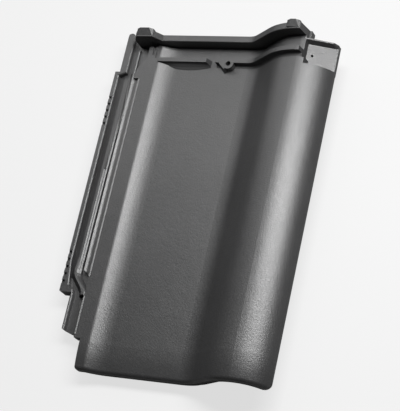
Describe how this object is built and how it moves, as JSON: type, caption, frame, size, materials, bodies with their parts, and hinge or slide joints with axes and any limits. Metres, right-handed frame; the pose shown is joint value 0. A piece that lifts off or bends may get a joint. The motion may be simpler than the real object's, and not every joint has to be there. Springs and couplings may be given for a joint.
{
  "type": "roof tile",
  "caption": "Interlocking clay roof tile with a raised cover roll, a flat trough, a side lock channel, a ribbed head lock and nibs underneath.",
  "frame": {"origin": "middle of the tile's box, on the floor under the foot rib and the nibs", "axes": "+Z out of the weather face, +Y along the tile from its foot (the lower edge on the roof) to its head, +X across it from the side lock to the cover roll"},
  "size_m": [0.282, 0.42, 0.0752],
  "materials": {
    "engobed_clay": "satin anthracite engobe over fired clay"
  },
  "bodies": {
    "root": {"roof_tile": "engobed_clay"}
  },
  "joints": []
}
